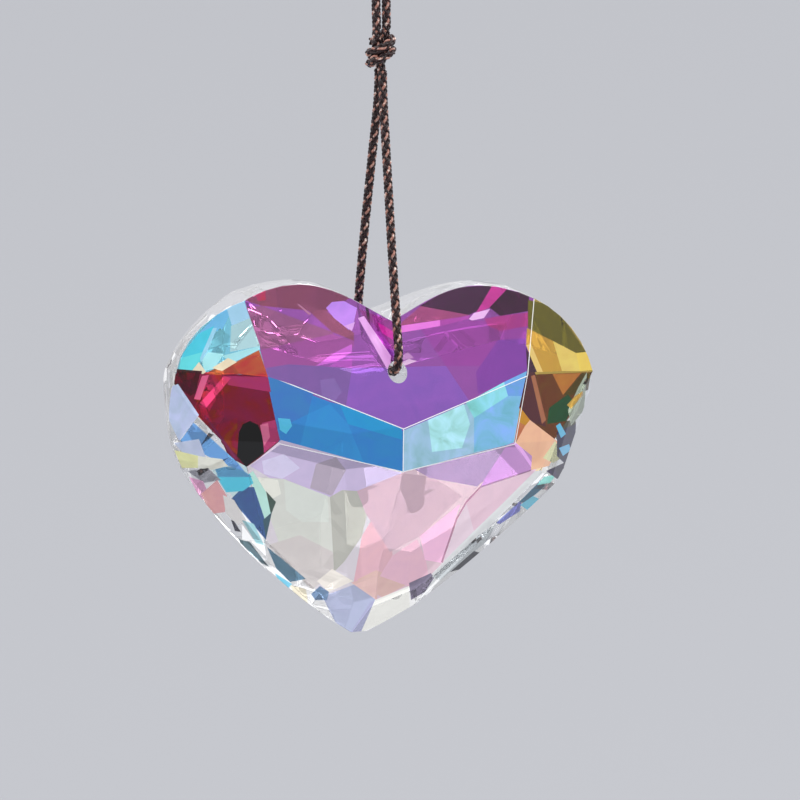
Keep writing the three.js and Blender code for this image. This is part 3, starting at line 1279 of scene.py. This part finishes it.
    PaintedReflection("rim_grey", "8e8e96", ((187, 471), (208, 468), (221, 480), (204, 483))),
    PaintedReflection("rim_rose", "f09cbc", ((189, 477), (203, 481), (207, 490), (202, 502))),
    PaintedReflection("rim_salmon", "fcb0b0", ((201, 494), (217, 480), (227, 496), (225, 512), (211, 514)), GLINT),
    PaintedReflection("rim_ivory", "fffaf4", ((223, 495), (234, 500), (246, 520), (238, 525), (226, 514)), GLINT),
    PaintedReflection("rim_shadow", "4c4c54", ((231, 520), (234, 521), (241, 532), (235, 531))),
    PaintedReflection("rim_slate", "54666e", ((238, 539), (250, 542), (269, 567), (252, 558))),
    PaintedReflection("rim_ice", "8cb4bc", ((242, 520), (254, 524), (264, 545), (256, 543))),
    PaintedReflection("foot_violet", "8a80a6", ((270, 549), (281, 559), (279, 569))),
    PaintedReflection("foot_teal", "64849a", ((267, 547), (281, 558), (306, 579), (290, 582), (276, 568))),
    PaintedReflection("foot_cyan", "6cb4cc", ((275, 573), (292, 584), (288, 589), (279, 584))),
    PaintedReflection("foot_cream", "d8d0bc", ((290, 585), (306, 589), (308, 603), (296, 598))),
    PaintedReflection("foot_blue", "6e86a4", ((311, 594), (320, 586), (329, 592), (327, 600), (315, 600))),
    # the tip and the rim on the right
    PaintedReflection("tip_rose", "d8b6b4", ((351, 582.5), (378, 575), (377, 599.5), (375, 599))),
    PaintedReflection("tip_foot", "9ea0be", ((350, 633), (362, 632), (375, 601), (371, 601))),
    PaintedReflection("tip_clear", "e2e2de", ((361, 632), (375, 600), (409, 586), (410, 612))),
    PaintedReflection("tip_plum", "787086", ((409, 583), (431, 573), (434, 578), (425, 592), (411, 600))),
    PaintedReflection("edge_grey", "b4babe", ((432, 577), (478, 536), (496, 524), (486, 542), (440, 580))),
    PaintedReflection("edge_black", "2c2c34", ((450, 572), (474, 551), (481, 553), (472, 566))),
    PaintedReflection("edge_violet", "6a70b8", ((496, 523), (522, 499), (520, 511), (500, 524))),
    PaintedReflection("edge_navy", "10607c", ((519, 502), (541, 480), (545, 486), (536, 494), (524, 503))),
    PaintedReflection("edge_teal", "5cc8e4", ((520, 505), (533, 496), (542, 500), (529, 511)), GLINT),
    PaintedReflection("edge_mint", "98fcec", ((537, 485), (544, 477), (557, 474), (550, 483)), GLINT),
    PaintedReflection("edge_dark", "3c3450", ((546, 471), (568, 461), (565, 473), (557, 479))),
    PaintedReflection("edge_straw", "c8c8a0", ((543, 458), (555, 441), (565, 456), (553, 463))),
    PaintedReflection("edge_night", "302e50", ((557, 432), (576, 424), (575, 442), (567, 466), (557, 456))),
    PaintedReflection("edge_glint", "5ac2ea", ((556, 426), (560, 423), (566, 434), (561, 438)), GLINT),
    PaintedReflection("edge_glint_low", "6ac4f2", ((559, 448), (569, 444), (571, 450), (563, 456)), GLINT),
    PaintedReflection("edge_sage", "a8b4a0", ((568, 410), (578, 388), (587, 372), (584, 410), (571, 426))),
    PaintedReflection("edge_honey", "c8a04c", ((567, 405), (575, 396), (583, 391), (583, 395), (571, 409))),
)


@dataclass(frozen=True)
class Facet:
    """One flat facet of the heart as it hangs, by a point of its plane and its outward direction."""

    name: str
    point: Vector
    outward: Vector
    coat: Coat

    def distance(self, polygon: bpy.types.MeshPolygon) -> float:
        """Give how far a face's middle lies from the facet's plane, in metres."""
        return abs((polygon.center - self.point).dot(self.outward))

    def holds(self, polygon: bpy.types.MeshPolygon) -> bool:
        """Say whether a face is part of the facet."""
        return polygon.normal.dot(self.outward) > SAME_WAY and self.distance(polygon) < ON_PLANE


@dataclass
class CrystalHeart:
    """One solid heart of cut glass, drilled near the top."""

    width: float = 45 * MM
    right_reach: float = 1.045
    height: float = 36.3 * MM
    front_depth: float = 10 * MM
    back_set: float = 1.2 * MM
    hole_diameter: float = 2 * MM
    hole_sides: int = 48
    hole_mouth: float = 1.2
    hole_below_lobes: float = 8.05 * MM
    hole: Vector = field(default_factory=lambda: Vector((-0.6, 0, -54)) * MM)
    tilt: float = 4.9
    edge_width: float = 0.045 * MM
    edge_angle: float = 6.0
    steps_per_curve: int = 10

    def build(self, finishes: dict[Polish, bpy.types.Material], attribute: str) -> bpy.types.Object:
        """Cut, drill and dress the heart.

        Args:
            finishes: The glass for each kind of polish.
            attribute: The name of the colour attribute that the coated glass reads.

        Returns:
            The heart.
        """
        heart = self._blank()
        put_in_order(heart)
        for step in (self._cut_facets, self._drill, self._soften_edges):
            step(heart)
            put_in_order(heart)
        heart.rotation_euler = (0, math.radians(self.tilt), 0)
        heart.location = self.hole
        settle(heart)
        self._inlay(heart)
        self._shade(heart)
        heart.data.materials.clear()
        for polish in Polish:
            heart.data.materials.append(finishes[polish])
        self._coat(heart, attribute)
        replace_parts(heart, "crystal_heart")
        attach(heart, "root")
        return heart

    def _outline(self) -> list[Place]:
        """Give the heart's outline.

        Returns:
            Its points, across and up from the hole, all the way round.
        """
        right: list[Place] = [self._spot(OUTLINE[0][0])]
        for a, b, c, d in OUTLINE:
            for i in range(1, self.steps_per_curve + 1):
                t = i / self.steps_per_curve
                u = 1 - t
                weights = (u**3, 3 * u**2 * t, 3 * u * t * t, t**3)
                shares = [sum(w * p[k] for w, p in zip(weights, (a, b, c, d))) for k in (0, 1)]
                right.append(self._spot(shares))
        left = [(-x, z) for x, z in reversed(right[1:])]
        return [(x * self.right_reach, z) for x, z in right] + left

    def _spot(self, shares: Sequence[float]) -> Place:
        """Turn shares of the half width and of the height into metres from the hole."""
        return shares[0] * self.width / 2, self.hole_below_lobes - shares[1] * self.height

    def _blank(self) -> bpy.types.Object:
        """Make the uncut heart: a disc drawn out to the outline and extruded.

        Returns:
            The blank, its hole's place at the origin.
        """
        outline = self._outline()
        deselect()
        bpy.ops.mesh.primitive_circle_add(
            vertices=len(outline), radius=self.width / 2, fill_type="NGON", rotation=(math.pi / 2, 0, 0)
        )
        heart = bpy.context.object
        heart.name = "crystal"
        settle(heart)
        for vertex, (x, z) in zip(heart.data.vertices, outline):
            vertex.co = (x, -self.front_depth, z)
        pick(heart)
        bpy.ops.object.mode_set(mode="EDIT")
        bpy.ops.mesh.select_all(action="SELECT")
        bpy.ops.mesh.extrude_region_move(TRANSFORM_OT_translate={"value": (0, 2 * self.front_depth, 0)})
        bpy.ops.mesh.select_all(action="SELECT")
        bpy.ops.mesh.normals_make_consistent(inside=False)
        deselect()
        return heart

    def _plane(self, cut: Cut, side: int, face: Face) -> tuple[Vector, Vector]:
        """Give a cut's plane, with the hole's place at the origin.

        Args:
            cut: The cut.
            side: 1 on the right half and -1 on the left.
            face: The face that it is made on.

        Returns:
            A point of the plane and its outward direction.
        """
        slope_out = cut.out * self.front_depth / (self.width / 2)
        slope_down = cut.down * self.front_depth / self.height
        depth = cut.level * self.front_depth - (self.back_set if face is Face.BACK else 0)
        point = Vector((0, -face.value * depth, self.hole_below_lobes))
        return point, Vector((-slope_out * side, -face.value, slope_down)).normalized()

    def _planes(self) -> Iterable[tuple[str, int, Face, Vector, Vector]]:
        """Give each cut in turn, on each side and face.

        Returns:
            The cut's name, side, face, point and outward direction.
        """
        for name, cut in CUTS.items():
            for side in cut.sides:
                for face in Face:
                    yield (name, side, face, *self._plane(cut, side, face))

    def _facets(self) -> list[Facet]:
        """Give the facets of the heart as it hangs.

        Returns:
            Every facet, front and back, with its coat.
        """
        hung = Matrix.Translation(self.hole) @ Matrix.Rotation(math.radians(self.tilt), 4, "Y")
        return [
            Facet(name, hung @ point, hung.to_3x3() @ outward, COATS[face].get((name, side), CLEAR))
            for name, side, face, point, outward in self._planes()
        ]

    def _cut_facets(self, heart: bpy.types.Object) -> None:
        """Take off what lies outside each cut, and close the cut with a flat facet.

        Args:
            heart: The uncut heart.
        """
        pick(heart)
        bpy.ops.object.mode_set(mode="EDIT")
        for _, _, _, point, outward in self._planes():
            bpy.ops.mesh.select_all(action="SELECT")
            bpy.ops.mesh.bisect(
                plane_co=point, plane_no=outward, use_fill=True, clear_outer=True, threshold=CLOSE
            )
        bpy.ops.mesh.select_all(action="SELECT")
        bpy.ops.mesh.remove_doubles(threshold=MERGED)
        bpy.ops.mesh.normals_make_consistent(inside=False)
        deselect()

    def _drill(self, heart: bpy.types.Object) -> None:
        """Drill the hole from front to back.

        Args:
            heart: The cut heart.
        """
        deselect()
        bpy.ops.mesh.primitive_cylinder_add(
            vertices=self.hole_sides,
            radius=self.hole_diameter / 2,
            depth=4 * self.front_depth,
            rotation=(math.pi / 2, 0, 0),
        )
        drill = bpy.context.object
        settle(drill)
        pick(heart)
        cut = heart.modifiers.new("hole", "BOOLEAN")
        cut.object, cut.operation, cut.solver = drill, "DIFFERENCE", "EXACT"
        bpy.ops.object.modifier_apply(modifier="hole")
        bpy.data.objects.remove(drill)
        deselect()

    def _soften_edges(self, heart: bpy.types.Object) -> None:
        """Take the sharpness off every edge between two facets.

        Args:
            heart: The drilled heart.
        """
        pick(heart)
        bevel = heart.modifiers.new("edges", "BEVEL")
        bevel.width, bevel.segments = self.edge_width, 1
        bevel.limit_method, bevel.angle_limit = "ANGLE", math.radians(self.edge_angle)
        bevel.use_clamp_overlap = False
        bpy.ops.object.modifier_apply(modifier="edges")
        deselect()

    def _inlay(self, heart: bpy.types.Object) -> None:
        """Cut the straight edges of all the painted reflections into the front facets, which stay flat.

        Args:
            heart: The heart as it hangs.
        """
        pick(heart)
        bpy.ops.object.mode_set(mode="EDIT")
        bpy.ops.mesh.select_all(action="DESELECT")
        for reflex in PAINTED_REFLECTIONS:
            done: list[Edge] = []
            for edge in reflex.edges:
                if self._select_under(heart, reflex, done, edge):
                    start, (a, b) = VIEW.place(edge[0]), edge
                    along = VIEW.right * (b[0] - a[0]) - VIEW.up * (b[1] - a[1])
                    across = (start - VIEW.eye).cross(along).normalized()
                    bpy.ops.mesh.bisect(plane_co=start, plane_no=across, threshold=CLOSE)
                    bpy.ops.mesh.select_all(action="DESELECT")
                done.append(edge)
            LOG.debug("inlaid %s", reflex.name)
        deselect()

    @staticmethod
    def _select_under(heart: bpy.types.Object, reflex: PaintedReflection, done: Sequence[Edge], edge: Edge) -> int:
        """Select the front faces that a painted reflection lies on and that one of its edges still has to
        cut.

        Args:
            heart: The heart, in edit mode.
            reflex: The painted reflection.
            done: Its edges that are cut already.
            edge: The edge to cut next.

        Returns:
            How many faces are selected.
        """
        mesh = bmesh.from_edit_mesh(heart.data)
        corners = [first for first, _ in reflex.edges]
        chosen = 0
        for face in mesh.faces:
            if face.normal.dot(VIEW.ahead) > -EDGE_ON or face.calc_area() < SPECK:
                continue
            spots = [spot_of(vertex.co.to_tuple(DIGITS)) for vertex in face.verts]
            if crosses(spots, edge) and all(inside(spots, e) for e in done) and meets(spots, corners):
                face.select_set(True)
                chosen += 1
        bmesh.update_edit_mesh(heart.data, loop_triangles=False, destructive=False)
        return chosen

    def _shade(self, heart: bpy.types.Object) -> None:
        """Shade the facets flat, and the rim and the hole round.

        Args:
            heart: The heart as it hangs.
        """
        for face in heart.data.polygons:
            face.use_smooth = abs(face.normal.y) < UPRIGHT
        heart.data.update()

    def _coat(self, heart: bpy.types.Object, attribute: str) -> None:
        """Give each face its polish and its colour: that of its coating, of a painted reflection, or of a
        painted glint.

        Args:
            heart: The heart as it hangs, with the painted reflections cut in.
            attribute: The name of the colour attribute.
        """
        facets = self._facets()
        layer = heart.data.color_attributes.new(attribute, "FLOAT_COLOR", "CORNER")
        for polygon in heart.data.polygons:
            coat = self._coat_of(polygon, facets)
            polygon.material_index = coat.polish.value
            colour = (*coat.shade(), coat.cloudiness)
            for loop in polygon.loop_indices:
                layer.data[loop].color = colour

    def _coat_of(self, polygon: bpy.types.MeshPolygon, facets: Sequence[Facet]) -> Coat:
        """Choose the coat of one face.

        Args:
            polygon: The face.
            facets: The heart's facets.

        Returns:
            The coat of the painted reflection or the facet that the face is part of. A plain strip along an
            edge takes the coat of the facet beside it.
        """
        facet = next((f for f in facets if f.holds(polygon)), None)
        if not facet:
            polish = self._edge_polish(polygon, facets)
            if polish is not Polish.COATED or abs(polygon.normal.y) <= UPRIGHT:
                return replace(CLEAR, cloudiness=0.0, polish=polish)
            beside = [f for f in facets if f.distance(polygon) < 2 * self.edge_width]
            facet = max(beside or facets, key=lambda f: polygon.normal.dot(f.outward))
        coat = facet.coat
        if polygon.normal.dot(VIEW.ahead) < -EDGE_ON:
            spot = VIEW.pixel(polygon.center)
            # a painted reflection or painted glint takes the place of the facet's own coat
            for reflex in PAINTED_REFLECTIONS:
                if reflex.only in facet.name and reflex.covers(spot):
                    colour, cloudiness, polish = reflex.colour, reflex.cloudiness, reflex.polish
                    coat = replace(coat, colour=colour, cloudiness=cloudiness, polish=polish)
        return coat

    def _edge_polish(self, polygon: bpy.types.MeshPolygon, facets: Sequence[Facet]) -> Polish:
        """Say how a face that is no facet is finished.

        Args:
            polygon: The face.
            facets: The heart's facets.

        Returns:
            Its polish: ground in the hole, a white painted highlight along the edges round most of the
                chevron, and coated elsewhere.
        """
        aside = math.hypot(polygon.center.x - self.hole.x, polygon.center.z - self.hole.z)
        if aside < self.hole_mouth * self.hole_diameter / 2:
            return Polish.GROUND
        chevron = [f for f in facets if f.name == "chevron" and f.outward.y < 0]
        along_chevron = any(polygon.normal.dot(f.outward) > BESIDE for f in chevron)
        if along_chevron and VIEW.pixel(polygon.center)[0] > BRIGHT_EDGES_FROM:
            return Polish.BRIGHT
        return Polish.COATED


# All together


def raise_bounces(scene: bpy.types.Scene, through: int = 32, mirrored: int = 16, clamp: float = 6.0) -> None:
    """Let light pass through as many facets as it needs.

    Args:
        scene: The scene.
        through: How many faces light may pass through.
        mirrored: How many times it may be mirrored.
        clamp: The brightest that light from a bounce may be.
    """
    cycles = scene.cycles
    cycles.max_bounces = cycles.transmission_bounces = through
    cycles.glossy_bounces = mirrored
    cycles.sample_clamp_indirect = clamp
    scene.view_settings.view_transform = "Standard"


def main() -> None:
    """Build the suncatcher piece by piece."""
    logging.basicConfig(level=logging.INFO, format="%(name)s: %(message)s")
    VIEW.make_camera()
    clouds = SoftClouds().make()
    yarns = [
        # the copper yarn's colour is partly the thread's own and partly a painted highlight; its near-white
        # flecks are painted glints
        YarnFinish("brown_yarn", "200a0c", "4a2020").make(clouds),
        YarnFinish("copper_yarn", "b07868", "ffece0").make(clouds),
    ]
    for piece in HangingCord(Braid(finishes=yarns)).build():
        LOG.info("made %s with %d faces", piece.name, len(piece.data.polygons))
    glass = CoatedGlass()
    finishes = {
        Polish.COATED: glass.make(clouds),
        Polish.GROUND: PlainGlass("ground_glass").make(),
        # a painted highlight: white, nearly opaque glass along the edges round the chevron
        Polish.BRIGHT: PlainGlass("bright_edge", "ffffff", transmission=0.2, roughness=0.3).make(),
        # painted glints: coloured, nearly opaque glass that the lamps light
        Polish.GLINT: CoatedGlass("glint_glass", transmission=0.25, mirror=0.5, roughness=0.12).make(clouds),
    }
    heart = CrystalHeart().build(finishes, glass.attribute)
    LOG.info("made %s with %d faces", heart.name, len(heart.data.polygons))
    Studio().build()
    raise_bounces(bpy.context.scene)


if __name__ == "__main__":
    main()
